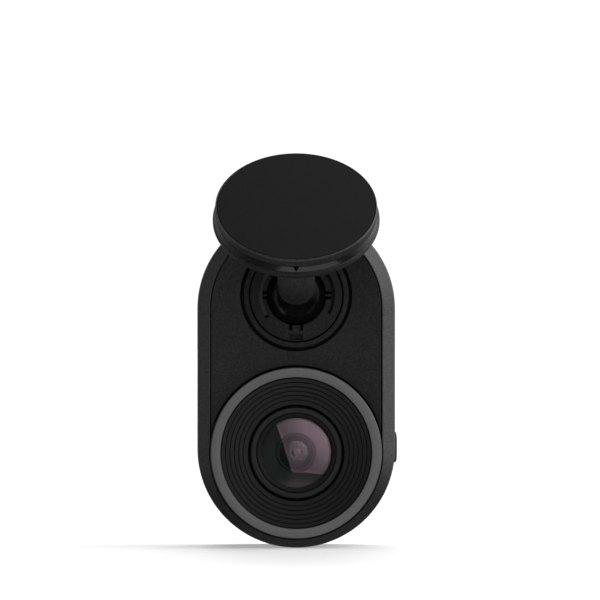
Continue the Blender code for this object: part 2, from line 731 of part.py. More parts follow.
def make_button(button_frame, looks):
    """Key with a slightly domed face, a flange behind the wall and a post to the switch."""
    half_y, half_z = (size / 2 for size in BUTTON_SIZE)
    flange_y, flange_z = half_y + 0.8 * MM, half_z + 0.8 * MM
    flange_x = BODY_RADIUS - WALL - BUTTON_OUTER_X - 0.65 * MM
    flange_back = flange_x - 0.7 * MM
    sections = [
        (half_y - 0.9 * MM, half_z - 0.9 * MM, 0.9 * MM, 0.0),
        (half_y, half_z, 1.2 * MM, -0.25 * MM),
        (half_y, half_z, 1.2 * MM, flange_x),
        (flange_y, flange_z, 1.2 * MM, flange_x),
        (flange_y, flange_z, 1.2 * MM, flange_back),
        (1.0 * MM, 1.0 * MM, 0.6 * MM, flange_back),
        (1.0 * MM, 1.0 * MM, 0.6 * MM, 12.0 * MM - BUTTON_OUTER_X),
    ]
    shape = lofted([rounded_rectangle(y, z, corner, x) for y, z, corner, x in sections])
    add_object("side_button", shape, button_frame, material=looks["shell"])


def make_switch(camera, looks):
    """Push switch behind the button, on its own upright board."""
    board = block((8.8, 6.5, -27.5), (9.6, 12.9, -20.5))
    add_object("switch_board", board, camera, material=looks["board"])
    sections = [
        (2.2, 1.8, 0.3, 9.9),
        (2.2, 1.8, 0.3, 11.2),
        (0.9, 0.9, 0.4, 11.2),
        (0.9, 0.9, 0.4, 11.6),
    ]
    outlines = [
        rounded_rectangle(y * MM, z * MM, corner * MM, x * MM) for y, z, corner, x in sections
    ]
    place = (0.0, BUTTON_DEPTH, BUTTON_HEIGHT)
    add_object("side_switch", lofted(outlines), camera, place, looks["steel"])


def build():
    clear_scene()
    looks = make_finishes()
    mount = empty("mount_frame")
    ball = empty("ball_frame", BALL_CENTRE)
    cup = empty("cup_frame", BALL_CENTRE)
    camera = empty("camera_frame", BALL_CENTRE)
    lens = empty("lens_frame", (0.0, 0.0, LENS_HEIGHT))
    button = empty("button_frame", (BUTTON_OUTER_X, BUTTON_DEPTH, BUTTON_HEIGHT))
    card = empty("card_frame", (CARD_OUTER_X, CARD_FRONT, CARD_HEIGHT))
    for frame in (lens, button, card):
        frame.parent = camera

    make_disc(mount, looks)
    make_stem(mount, looks)
    make_ball(ball, looks)
    make_housing(camera, looks)
    make_panel(camera, looks)
    make_rear_cover(camera, looks)
    make_socket(camera, cup, looks)
    make_bezel_and_hood(lens, looks)
    make_barrel(lens, looks)
    make_lenses(lens, looks)
    make_camera_module(lens, looks)
    make_main_board(camera, looks)
    make_antenna(camera, looks)
    make_connectors(camera, looks)
    make_card(card, looks)
    make_button(button, looks)
    make_switch(camera, looks)


build()
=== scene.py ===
import json
import math

import bmesh
import bpy
from mathutils import Matrix, Vector


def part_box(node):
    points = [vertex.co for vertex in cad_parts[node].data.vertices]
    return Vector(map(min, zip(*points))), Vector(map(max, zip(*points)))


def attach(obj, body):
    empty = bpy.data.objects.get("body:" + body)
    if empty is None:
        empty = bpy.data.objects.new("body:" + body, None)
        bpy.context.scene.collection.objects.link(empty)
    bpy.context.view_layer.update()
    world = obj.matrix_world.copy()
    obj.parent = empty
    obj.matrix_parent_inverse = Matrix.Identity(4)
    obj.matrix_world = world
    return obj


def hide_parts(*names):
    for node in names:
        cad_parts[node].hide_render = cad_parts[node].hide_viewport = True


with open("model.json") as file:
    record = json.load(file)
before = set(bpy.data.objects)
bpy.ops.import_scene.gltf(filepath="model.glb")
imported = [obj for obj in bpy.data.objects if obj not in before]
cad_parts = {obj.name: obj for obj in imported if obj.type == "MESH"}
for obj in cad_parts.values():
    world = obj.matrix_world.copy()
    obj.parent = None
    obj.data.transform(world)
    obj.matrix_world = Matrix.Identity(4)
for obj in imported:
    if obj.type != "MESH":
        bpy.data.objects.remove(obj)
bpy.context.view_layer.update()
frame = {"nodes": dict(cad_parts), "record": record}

# Outlines are written in millimetres and turned into metres with MM; everything else is in metres.
MM = 0.001
ROUND_SIDES = 160
FINE_SIDES = 220
SMALL_SIDES = 128
HALF_ARC_STEPS = 72
FILLET_STEPS = 4
SMOOTH_ANGLE = 32.0

# Each lobe of studio light: direction, the two cosines between which it rises, and its strength.
WORLD_BASE = 0.02
WORLD_LOBES = [
    ((1.0, 0.2, 0.60), 0.48, 1.0, 2.45),
    ((0.75, 0.0, 0.85), 0.8, 1.0, 0.8),
    ((-1.0, 0.15, 0.25), 0.6, 0.98, 0.46),
    ((0.0, 0.3, 1.0), 0.5, 0.95, 0.14),
    ((0.0, 1.0, 0.2), 0.1, 0.8, 0.3),
    ((0.0, -0.1, -1.0), 0.6, 0.98, 0.32),
]
# The softbox is a card cut by three planes, with a glow to one side, a brighter rim and a far
# strip. The table is a dimmer card below it.
SOFTBOX_LEVEL = 0.29
SOFTBOX_GLOW = ((0.70, -0.42, 0.60), 0.4, 1.0, 0.50)
SOFTBOX_RIM = 0.10
RIM_WIDTH = 0.035
TABLE_LEVEL = 0.045
# Each side of a card of light: the plane's normal, and where along it the edge starts and ends.
SOFTBOX_EDGES = [
    (0.9526, -0.0090, 0.3039, -0.222, -0.202),
    (0.027, 0.0, 1.0, -0.457, -0.437),
    (0.0, -1.0, 0.0, 0.40, 0.66),
]
TABLE_EDGES = [
    (-0.027, 0.0, -1.0, 0.437, 0.457),
    (1.0, 0.0, -0.354, 0.069, 0.089),
    (0.0, -1.0, 0.0, 0.40, 0.66),
]
FAR_STRIP = (0.92, 0.0, 0.39, 0.70, 0.73)
FAR_STRIP_LEVEL = 0.25

# The floor's suns: name, strength, lean in degrees and whether it casts a shadow.
FLOOR_SUNS = [("floor_light", 2.3, -42, True), ("floor_fill", 1.9, 0, False)]
SUN_ANGLE = 35
FLOOR_FALL = 3.2
# Powers of the small cards near the object, in watts.
BAND_LIGHT = 0.0205
PANEL_LIGHT = 0.030
STEM_LIGHT = 0.008
# The ball's cards stand BALL_CARD_BACK degrees away from the lens direction. Each has its name, its
# angle round that direction, its length in millimetres and its power.
BALL_CARDS = [
    ("ball_card_left", 205.0, 90.0, 0.0036),
    ("ball_card_low", 228.0, 24.0, 0.0012),
    ("ball_card_right", -42.0, 30.0, 0.0009),
]
BALL_CARD_BACK = 81.6

CAMERA_DISTANCE = 1.5
CAMERA_FIELD = 94.24 * MM
CAMERA_SIDE = 0.6 * MM
CAMERA_HEIGHT = -14.67 * MM


# ---------------------------------------------------------------- places, read from the frame


def middle(node):
    low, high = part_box(node)
    return (Vector(low) + Vector(high)) / 2


def low_corner(node):
    return Vector(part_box(node)[0])


def high_corner(node):
    return Vector(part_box(node)[1])


def half_width(node):
    return (high_corner(node).x - low_corner(node).x) / 2


BALL = middle("mount_ball")
BALL_RADIUS = half_width("mount_ball")
BODY_RADIUS = half_width("main_housing")
PANEL_RADIUS = half_width("front_panel")
TOP_ARC = high_corner("main_housing").z - BODY_RADIUS
BOTTOM_ARC = low_corner("main_housing").z + BODY_RADIUS
FRONT = low_corner("front_panel").y
LENS = middle("bezel_ring")
RING_RADIUS = half_width("bezel_ring")
FLOOR = low_corner("main_housing").z

# Turned pieces have depth 0 at the ball's centre, and those of the disc at its adhesive face.
AT_BALL = Matrix.Translation((0.0, BALL.y, BALL.z))
AT_LENS = Matrix.Translation((0.0, BALL.y, LENS.z))
FACE_NORMAL = Vector(frame["record"]["mounts"][0]["axis"]).normalized()
FACE_TILT = math.asin(FACE_NORMAL.z)
AT_DISC = Matrix.Rotation(-FACE_TILT, 4, "X")


def depth_of(node, side):
    """Depth of a node's front or back, in millimetres behind the ball's centre."""
    corner = low_corner(node) if side == "front" else high_corner(node)
    return (corner.y - BALL.y) / MM


# ---------------------------------------------------------------- shape tools


def rounded(corners, closed=True):
    """An outline through (across, along, fillet) corners, in millimetres, with rounded corners."""
    points = []
    count = len(corners)
    for i, (across, along, fillet) in enumerate(corners):
        here = Vector((across, along))
        end = not closed and i in (0, count - 1)
        if fillet == 0.0 or end:
            points.append(here)
            continue
        back = Vector(corners[i - 1][:2]) - here
        ahead = Vector(corners[(i + 1) % count][:2]) - here
        half = max(back.angle(ahead) / 2, 0.05)
        reach = min(fillet / math.tan(half), 0.49 * min(back.length, ahead.length))
        start, stop = here + back.normalized() * reach, here + ahead.normalized() * reach
        for step in range(FILLET_STEPS + 1):
            t = step / FILLET_STEPS
            points.append(start * (1 - t) ** 2 + here * 2 * t * (1 - t) + stop * t**2)
    return [(p.x * MM, p.y * MM) for p in points]


def skin(rings, closed_along=False, cap=False):
    """Quads between rings of equal point counts, joined last to first or capped at both ends."""
    shape = bmesh.new()
    loops = [[shape.verts.new(point) for point in ring] for ring in rings]
    pairs = list(zip(loops, loops[1:]))
    if closed_along:
        pairs.append((loops[-1], loops[0]))
    for first, second in pairs:
        for i in range(len(first)):
            shape.faces.new((first[i - 1], first[i], second[i], second[i - 1]))
    if cap:
        shape.faces.new(loops[0])
        shape.faces.new(loops[-1])
    return shape


def solid(rings):
    return skin(rings, cap=True)


def prism(outline, near, far):
    """An (x, y) outline in millimetres, drawn straight along z."""
    return solid([[(x * MM, y * MM, z * MM) for x, y in outline] for z in (near, far)])


def turned(outline, sides=ROUND_SIDES):
    """Turns a (radius, depth) outline about +Y. One that starts on the axis also ends on it."""
    on_axis = outline[0][0] < 1e-9
    rings = []
    for radius, depth in outline:
        angles = [2 * math.pi * i / sides for i in range(sides)]
        rings.append([(radius * math.cos(a), depth, radius * math.sin(a)) for a in angles])
    shape = skin(rings, closed_along=not on_axis)
    bmesh.ops.remove_doubles(shape, verts=shape.verts, dist=1e-8)
    return shape


def stadium(radius, depth):
    """The body's outline with its ends at the given radius."""
    points = []
    for centre, start in ((TOP_ARC, 0.0), (BOTTOM_ARC, math.pi)):
        for i in range(HALF_ARC_STEPS + 1):
            angle = start + math.pi * i / HALF_ARC_STEPS
            points.append((radius * math.cos(angle), depth, centre + radius * math.sin(angle)))
    return points


def body_sweep(outline, closed=True, cap=False):
    """Sweeps a (radius, depth) outline round the body; depths run back from the ball's centre."""
    return skin([stadium(r, BALL.y + d) for r, d in outline], closed_along=closed, cap=cap)


def rounded_rectangle(half_y, half_z, corner, x):
    """A ring in the plane of the given x, from half sizes and a corner radius."""
    steps = 8
    points = []
    for quarter in range(4):
        centre_y = (half_y - corner) * (1 if quarter in (0, 3) else -1)
        centre_z = (half_z - corner) * (1 if quarter in (0, 1) else -1)
        for i in range(steps + 1):
            a = math.pi / 2 * (quarter + i / steps)
            points.append((x, centre_y + corner * math.cos(a), centre_z + corner * math.sin(a)))
    return points


def box_shape(low, high):
    shape = bmesh.new()
    low, high = Vector(low), Vector(high)
    place = Matrix.Translation((low + high) / 2) @ Matrix.Diagonal((*(high - low), 1.0))
    bmesh.ops.create_cube(shape, size=1.0, matrix=place)
    return shape


def make_object(name, shape, place=Matrix.Identity(4)):
    bmesh.ops.transform(shape, matrix=place, verts=shape.verts)
    bmesh.ops.recalc_face_normals(shape, faces=shape.faces)
    mesh = bpy.data.meshes.new(name)
    shape.to_mesh(mesh)
    shape.free()
    item = bpy.data.objects.new(name, mesh)
    bpy.context.collection.objects.link(item)
    return item


def cut(item, shape, place=Matrix.Identity(4), operation="DIFFERENCE"):
    """Applies a Boolean with a throwaway cutter."""
    tool = make_object("tool", shape, place)
    modifier = item.modifiers.new("cut", "BOOLEAN")
    modifier.operation = operation
    modifier.object = tool
    graph = bpy.context.evaluated_depsgraph_get()
    result = bpy.data.meshes.new_from_object(item.evaluated_get(graph))
    item.modifiers.clear()
    old = item.data
    item.data = result
    result.name = old.name
    bpy.data.meshes.remove(old)
    bpy.data.objects.remove(tool, do_unlink=True)


def cut_opening(item, half_y, half_z, corner, reach, centre):
    """Cuts a rounded slot along x, between the two ends of its reach."""
    rings = [rounded_rectangle(half_y * MM, half_z * MM, corner * MM, x) for x in reach]
    cut(item, solid(rings), Matrix.Translation((0, centre.y, centre.z)))


def soften_edges(item, width, segments=2, angle=35.0):
    """Rounds the real edges that cutting left, and keeps flat faces flat in the shading."""
    modifier = item.modifiers.new("soften", "BEVEL")
    modifier.width = width * MM
    modifier.segments = segments
    modifier.limit_method = "ANGLE"
    modifier.angle_limit = math.radians(angle)
    modifier.harden_normals = True
    modifier = item.modifiers.new("flatten", "WEIGHTED_NORMAL")
    modifier.weight = 50
    modifier.keep_sharp = True


def add_piece(name, shape, look, body, nodes,
              place=Matrix.Identity(4), angle=SMOOTH_ANGLE):
    """A finished piece that rides on a body and stands for the CAD nodes."""
    item = shape if isinstance(shape, bpy.types.Object) else make_object(name, shape, place)
    item.name = name
    item.data.materials.clear()
    item.data.materials.append(look)
    item.data.shade_smooth()
    item.data.set_sharp_from_angle(angle=math.radians(angle))
    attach(item, body)
    if nodes:
        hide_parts(*nodes)
    return item


# ---------------------------------------------------------------- materials


class Nodes:
    """A small helper for building one material's node tree."""

    def __init__(self, name):
        self.material = bpy.data.materials.new(name)
        self.material.use_nodes = True
        self.tree = self.material.node_tree
        self.shader = self.tree.nodes["Principled BSDF"]
        self.where = self.add("ShaderNodeTexCoord").outputs["Object"]

    def add(self, kind, **settings):
        node = self.tree.nodes.new(kind)
        for key, value in settings.items():
            setattr(node, key, value)
        return node

    def link(self, source, target):
        self.tree.links.new(source, target)

    def noise(self, size_mm, detail=2.0, roughness=0.5):
        node = self.add("ShaderNodeTexNoise")
        node.inputs["Scale"].default_value = 1.0 / (size_mm * MM)
        node.inputs["Detail"].default_value = detail
        node.inputs["Roughness"].default_value = roughness
        self.link(self.where, node.inputs["Vector"])
        return node.outputs["Fac"]

    def spread(self, factor, low, high, near=0.3, far=0.7):
        """Maps a noise factor to a range of values."""
        node = self.add("ShaderNodeMapRange")
        node.inputs["From Min"].default_value = near
        node.inputs["From Max"].default_value = far
        node.inputs["To Min"].default_value = low
        node.inputs["To Max"].default_value = high
        self.link(factor, node.inputs["Value"])
        return node.outputs["Result"]

    def tint(self, factor, first, second):
        node = self.add("ShaderNodeMix", data_type="RGBA")
        node.inputs["A"].default_value = (*first, 1.0)
        node.inputs["B"].default_value = (*second, 1.0)
        self.link(factor, node.inputs["Factor"])
        return node.outputs["Result"]

    def bump(self, height, strength, distance_mm, before=None):
        node = self.add("ShaderNodeBump")
        node.inputs["Strength"].default_value = strength
        node.inputs["Distance"].default_value = distance_mm * MM
        self.link(height, node.inputs["Height"])
        if before:
            self.link(before, node.inputs["Normal"])
        return node.outputs["Normal"]

    def set(self, socket, value):
        self.shader.inputs[socket].default_value = value

    def drive(self, socket, source):
        self.link(source, self.shader.inputs[socket])


def grained(name, colour, roughness, grain_mm, depth_mm, specular=0.5, metallic=0.0, vary=0.25):
    """Moulded or blasted surface: fine grain, slow drift of colour and small changes of gloss."""
    gloss_share, haze = vary * 0.35, 0.05
    n = Nodes(name)
    drift = n.noise(6.0, 3.0)
    speckle = n.noise(grain_mm, 2.0, 0.6)
    mixed = n.add("ShaderNodeMath", operation="MULTIPLY_ADD")
    n.link(n.spread(speckle, 0.0, 0.85), mixed.inputs[0])
    mixed.inputs[1].default_value = 1.0
    n.link(n.spread(drift, 0.0, 0.15), mixed.inputs[2])
    low = tuple(c * (1 - vary) for c in colour)
    high = tuple(c * (1 + vary) for c in colour)
    n.drive("Base Color", n.tint(mixed.outputs[0], low, high))
    n.drive("Roughness", n.spread(speckle, roughness - haze, roughness + haze))
    fine = n.bump(speckle, 0.5, depth_mm)
    n.drive("Normal", n.bump(n.noise(grain_mm * 3.1, 1.0), 0.25, depth_mm, fine))
    n.set("Metallic", metallic)
    gloss = n.spread(speckle, specular * (1 - gloss_share), specular * (1 + gloss_share))
    n.drive("Specular IOR Level", gloss)
    return n.material


def polished(name, colour, roughness, specular):
    """Glossy surface with faint polishing haze and a slow waviness."""
    n = Nodes(name)
    haze = n.noise(1.4, 4.0, 0.6)
    n.drive("Roughness", n.spread(haze, roughness * 0.7, roughness * 1.3))
    low = tuple(c * 0.9 for c in colour)
    high = tuple(c * 1.1 for c in colour)
    n.drive("Base Color", n.tint(haze, low, high))
    n.drive("Normal", n.bump(n.noise(2.5, 1.0), 0.05, 0.01))
    n.set("Specular IOR Level", specular)
    return n.material


def coated_glass(name, tint, ior, body=(0.9, 0.95, 0.93), clear=1.0):
    """Glass whose coating colours what it reflects. Where it isn't clear, it shows its body colour."""
    n = Nodes(name)
    dust = n.noise(0.5, 3.0, 0.7)
    n.drive("Roughness", n.spread(dust, 0.0, 0.004, 0.55, 0.8))
    n.set("IOR", ior)
    n.set("Base Color", (*body, 1.0))
    n.set("Transmission Weight", clear)
    n.set("Specular Tint", (*tint, 1.0))
    return n.material


def circuit_board(name):
    """Green solder resist over copper tracks, with a fine weave."""
    n = Nodes(name)
    tracks = n.add("ShaderNodeTexBrick")
    tracks.inputs["Scale"].default_value = 900.0
    tracks.inputs["Mortar Size"].default_value = 0.03
    tracks.inputs["Color1"].default_value = (0.004, 0.06, 0.025, 1.0)
    tracks.inputs["Color2"].default_value = (0.006, 0.085, 0.035, 1.0)
    tracks.inputs["Mortar"].default_value = (0.02, 0.16, 0.06, 1.0)
    n.link(n.where, tracks.inputs["Vector"])
    n.drive("Base Color", tracks.outputs["Color"])
    n.drive("Roughness", n.spread(n.noise(0.3, 2.0), 0.3, 0.5))
    n.drive("Normal", n.bump(tracks.outputs["Fac"], 0.4, 0.02))
    return n.material


def make_looks():
    """Every look; grained takes name, colour, roughness, grain and bump in mm, and specular."""
    clear = (1.0, 1.0, 1.0)
    return {
        "shell": grained("shell_plastic", (0.0128, 0.0128, 0.0130), 0.42, 0.25, 0.030, 0.48,
                         vary=0.70),
        # A lighter copy of the shell plastic for the housing's front land: a painted highlight along
        # the chamfer's inner edge.
        "shell_edge_highlight": grained("shell_edge_highlight", (0.036, 0.036, 0.0362), 0.42, 0.25, 0.012, 0.5,
                              vary=0.40),
        "panel": grained("panel_plastic", (0.0127, 0.0127, 0.0128), 0.55, 0.24, 0.012, 0.24,
                         vary=0.55),
        "ring": grained("bezel_metal", (0.374, 0.374, 0.375), 0.50, 0.22, 0.005,
                        metallic=1.0, vary=0.16),
        # A darker copy of the bezel metal for the ring's chamfers and sides: painted shade.
        "ring_edge_shade": grained("bezel_edge_shade", (0.110, 0.110, 0.111), 0.55, 0.22, 0.003,
                             metallic=1.0, vary=0.16),
        "hood": grained("hood_plastic", (0.0196, 0.0196, 0.0196), 0.70, 0.12, 0.004, 0.14),
        "socket": grained("socket_plastic", (0.0160, 0.0160, 0.0160), 0.50, 0.24, 0.006, 0.22,
                          vary=0.50),
        "barrel": grained("barrel_metal", (0.0200, 0.0200, 0.0200), 0.45, 0.10, 0.003, 0.35),
        "retainer": grained("retainer_metal", (0.0070, 0.0070, 0.0070), 0.35, 0.10, 0.002, 0.30),
        "mount": grained("mount_plastic", (0.0128, 0.0128, 0.0129), 0.48, 0.24, 0.014, 0.30,
                         vary=0.70),
        # A lighter copy of the socket plastic for the raised arc at the socket's left: painted light
        # on its face.
        "ridge": grained("socket_ridge", (0.0280, 0.0280, 0.0280), 0.50, 0.15, 0.003, 0.25),
        "stem": grained("stem_plastic", (0.0160, 0.0160, 0.0161), 0.46, 0.22, 0.014, 0.42,
                        vary=0.90),
        # Flat black: the fill of the pointer notch, and the lens's blackened edge.
        "mark": grained("flat_black", (0.0015, 0.0015, 0.0015), 0.80, 0.10, 0.001, 0.05),
        # A lighter, glossier copy of the mount plastic for the plate's lip. Its fillets catch real
        # light, and the lighter colour adds a painted highlight.
        "lip": grained("disc_lip", (0.0260, 0.0260, 0.0262), 0.36, 0.30, 0.004, 0.50),
        "band": polished("mount_band_gloss", (0.006, 0.006, 0.006), 0.16, 0.26),
        "pad": grained("adhesive_film", (0.0148, 0.0148, 0.0149), 0.75, 0.22, 0.004, 0.12),
        "ball": grained("ball_plastic", (0.0020, 0.0020, 0.0020), 0.19, 0.34, 0.0015, 0.06,
                        vary=0.60),
        "glass": coated_glass("front_glass", (1.0, 0.67, 0.85), 2.4, clear),
        "glass_back": coated_glass("front_glass_back", (0.77, 0.52, 0.65), 2.4, clear),
        "glass_clear": coated_glass("front_glass_clear", (0.01, 0.01, 0.01), 2.4, clear),
        # The pale teal body of the heart and of the cell wall is painted reflection: it stands in for
        # the teal glint of the inner lens coatings, seen through the front glass.
        "heart": coated_glass("heart_glass", (1.0, 0.72, 0.87), 2.6, (0.150, 0.200, 0.180), 0.0),
        "heart_top": coated_glass("heart_top_glass", (1.0, 0.68, 0.85), 3.7,
                                  (0.030, 0.034, 0.032), 0.0),
        "cell_wall": grained("cell_wall", (0.150, 0.200, 0.176), 0.45, 0.10, 0.002, 0.3),
        "inner_glass": coated_glass("inner_glass", (1.0, 0.66, 0.84), 1.8),
        "button": grained("button_plastic", (0.008, 0.008, 0.0081), 0.46, 0.30, 0.010, 0.22,
                          vary=0.5),
        "board": circuit_board("circuit_board"),
        "chip": grained("chip_plastic", (0.02, 0.02, 0.022), 0.45, 0.10, 0.004),
        "steel": grained("stamped_steel", (0.55, 0.55, 0.56), 0.30, 0.25, 0.003, metallic=1.0),
        "copper": grained("antenna_copper", (0.70, 0.40, 0.20), 0.35, 0.2, 0.002, metallic=1.0),
        "film": grained("flex_film", (0.45, 0.22, 0.05), 0.35, 0.3, 0.003),
        "cell": grained("cell_foil", (0.5, 0.52, 0.55), 0.38, 0.5, 0.01, metallic=0.8),
        "lamp": grained("light_plastic", (0.7, 0.74, 0.7), 0.3, 0.3, 0.002),
        "card": grained("card_plastic", (0.02, 0.02, 0.024), 0.3, 0.2, 0.002),
    }


# ---------------------------------------------------------------- mount


def make_disc(looks):
    """Film-faced pad, thin lip, gloss band with its pointer mark, and the grained rim behind it."""
    pad_radius = half_width("adhesive_pad") / MM
    plate = half_width("mount_plate") / MM
    rim = half_width("mount_base") / MM
    pad = [(0, 0, 0), (pad_radius - 0.06, 0, 0.10), (pad_radius - 0.06, 0.5, 0), (0, 0.5, 0)]
    pad = turned(rounded(pad, closed=False))
    add_piece("pad_film", pad, looks["pad"], "mount", ["adhesive_pad"], AT_DISC)

    inner = pad_radius + 0.03
    body = [
        (0, 0.62, 0),
        (inner, 0.62, 0.02),
        (inner, 0.36, 0.02),
        (plate, 0.36, 0.03),
        (plate, 1.33, 0.05),
        (0, 1.33, 0),
    ]
    body = turned(rounded(body, closed=False))
    add_piece("disc_plate", body, looks["mount"], "mount", ["mount_plate"],
              AT_DISC)
    # The lip round the pad is a separate piece in the lighter copy of the plastic, which paints a
    # highlight on it.
    lip = [(inner, 0.36, 0), (inner, 0.04, 0.06), (plate, 0.04, 0.16), (plate, 0.36, 0)]
    add_piece("disc_lip", turned(rounded(lip)), looks["lip"], "mount", [], AT_DISC)

    band_end = 2.3
    band = [(0, 1.40, 0), (plate - 0.02, 1.40, 0.05), (plate + 0.2, band_end, 0), (0, band_end, 0)]
    band = make_object("disc_band", turned(rounded(band, closed=False)), AT_DISC)
    half = 0.5
    mark = [(-half, 1.2), (half, 1.2), (half, 1.45), (0.0, band_end - 0.02), (-half, 1.45)]
    cut(band, prism(mark, -plate - 1.0, -plate + 0.35), AT_DISC)
    add_piece("disc_band", band, looks["band"], "mount", [])
    # A flat black triangle fills the pointer notch, flush with the band.
    small = [(x * 0.94, 1.22 + (y - 1.2) * 0.95) for x, y in mark]
    inlay = prism(small, -plate + 0.02, -plate + 0.33)
    add_piece("pointer_mark", inlay, looks["mark"], "mount", [], AT_DISC)

    base = [
        (0, band_end + 0.04, 0),
        (plate + 0.22, band_end + 0.04, 0.04),
        (rim, band_end + 0.34, 0.25),
        (rim, 3.1, 0.3),
        (rim - 0.3, 3.7, 0.2),
        (0, 3.7, 0),
    ]
    base = turned(rounded(base, closed=False))
    add_piece("disc_base", base, looks["mount"], "mount", ["mount_base"], AT_DISC)


def stem_line():
    """Points and headings along the stem's centre line, from the ball to the disc's back."""
    start, straight, bend, back = 3.4 * MM, 7.0 * MM, 8.0 * MM, 3.72 * MM
    leave = math.radians(18.0)
    bend_steps = 24
    ahead = Vector((0.0, -math.cos(leave), math.sin(leave)))
    up = Vector((0.0, math.sin(leave), math.cos(leave)))
    centre = BALL + ahead * straight + up * bend
    line = [(BALL + ahead * start, leave)]
    for i in range(bend_steps + 1):
        a = leave + (FACE_TILT - leave) * i / bend_steps
        line.append((centre + Vector((0.0, -math.sin(a), -math.cos(a))) * bend, a))
    last = line[-1][0]
    line.append((last + FACE_NORMAL * (-back - FACE_NORMAL.dot(last)), FACE_TILT))
    return line


def make_stem(looks):
    """Bent round stem, with a small flare where it meets the disc."""
    sides, flare_steps, flare = 72, 5, 0.45 * MM
    radius = half_width("mount_stem")
    angles = [2 * math.pi * i / sides for i in range(sides)]
    line = stem_line()
    rings = []
    for index, (point, heading) in enumerate(line):
        across = Vector((0.0, math.sin(heading), math.cos(heading)))
        sides_out = [Vector((math.cos(a), 0, 0)) + across * math.sin(a) for a in angles]
        if index < len(line) - 1:
            rings.append([point + side * radius for side in sides_out])
            continue
        for step in range(flare_steps):
            t = step / (flare_steps - 1)
            rise = flare * (1 - math.cos(t * math.pi / 2))
            shift = -FACE_NORMAL * flare * (1 - math.sin(t * math.pi / 2))
            rings.append([point + shift + side * (radius + rise) for side in sides_out])
    stem = make_object("stem", solid(rings))
    seat = bmesh.new()
    bmesh.ops.create_uvsphere(seat, u_segments=96, v_segments=64, radius=BALL_RADIUS + 0.02 * MM)
    cut(stem, seat, Matrix.Translation(BALL))
    add_piece("stem", stem, looks["stem"], "mount", ["mount_stem"])


def make_ball(looks):
    """Full ball, turned from a half circle so its poles lie on the lens direction."""
    steps = 96
    half = [math.pi * i / steps for i in range(steps + 1)]
    outline = [(BALL_RADIUS * math.sin(a), -BALL_RADIUS * math.cos(a)) for a in half]
    outline[0] = (0.0, -BALL_RADIUS)
    outline[-1] = (0.0, BALL_RADIUS)
    shape = turned(outline, SMALL_SIDES)
    add_piece("ball", shape, looks["ball"], "ball", ["mount_ball"], AT_BALL)


# ---------------------------------------------------------------- body shells


def make_housing(looks):
    """Shell with a narrow land and a chamfer at its front, cut for the ring, port, card and key."""
    radius = BODY_RADIUS / MM
    panel = PANEL_RADIUS / MM
    front = depth_of("main_housing", "front")
    back = depth_of("main_housing", "back")
    wall, chamfer, shelf, flange = 1.55, 1.85, 1.5, 2.8
    inner = radius - wall
    seat = panel + 0.19
    ledge = seat - 0.95
    outline = [
        (seat, front + 0.10, 0.06),
        (seat + 0.04, front, 0.06),
        (seat + 0.18, front + 0.02, 0.05),
        (radius - 0.12, front + chamfer, 0.35),
        (radius, front + chamfer + 0.5, 0.35),
        (radius, back, 0.14),
        (inner, back, 0.1),
        (inner, front + flange, 0.1),
        (ledge, front + flange, 0.1),
        (ledge, front + shelf, 0.1),
        (seat, front + shelf, 0.1),
    ]
    housing = make_object("body_shell", body_sweep(rounded(outline)))
    pocket_radius, ahead, floor = RING_RADIUS + 0.24 * MM, -6 * MM, (front + shelf) * MM
    pocket = turned([(0, ahead), (pocket_radius, ahead), (pocket_radius, floor), (0, floor)])
    cut(housing, pocket, AT_LENS)

    reach = (inner - 1.0) * MM, (radius + 1.0) * MM
    card = middle("memory_card")
    cut_opening(housing, 1.6, 4.1, 0.8, reach, middle("usb_port"))
    cut_opening(housing, 0.72, 5.8, 0.5, reach, card)
    dish = bmesh.new()
    bmesh.ops.create_uvsphere(dish, u_segments=48, v_segments=24, radius=4.2 * MM)
    cut(housing, dish, Matrix.Translation((radius * MM + 3.55 * MM, card.y, card.z)))
    cut_opening(housing, 4.15, 2.6, 1.3, reach, middle("side_button"))
    add_piece("body_shell", housing, looks["shell"], "camera", ["main_housing"])
    # The front-most faces of the housing take the lighter copy, a painted highlight line beside the
    # panel.
    housing.data.materials.append(looks["shell_edge_highlight"])
    for face in housing.data.polygons:
        if face.center.y < FRONT + 0.06 * MM:
            face.material_index = 1
    soften_edges(housing, 0.07)


def make_panel(looks):
    """Inset plate, open round the lens ring and the ball socket."""
    front, back = depth_of("front_panel", "front"), depth_of("front_panel", "back")
    radius = PANEL_RADIUS / MM + 0.04
    rings = [(0.001, back, 0), (radius, back, 0.05), (radius, front, 0.14), (0.001, front, 0)]
    rings = rounded(rings, closed=False)[1:-1]
    panel = make_object("front_panel_skin", body_sweep(rings, closed=False, cap=True))
    for place, hole in ((AT_LENS, RING_RADIUS + 0.32 * MM), (AT_BALL, 8.8 * MM)):
        ends = (front - 1) * MM, (back + 1) * MM
        cut(panel, turned([(0, ends[0]), (hole, ends[0]), (hole, ends[1]), (0, ends[1])]), place)
    add_piece("front_panel_skin", panel, looks["panel"], "camera", ["front_panel"])
    soften_edges(panel, 0.12)


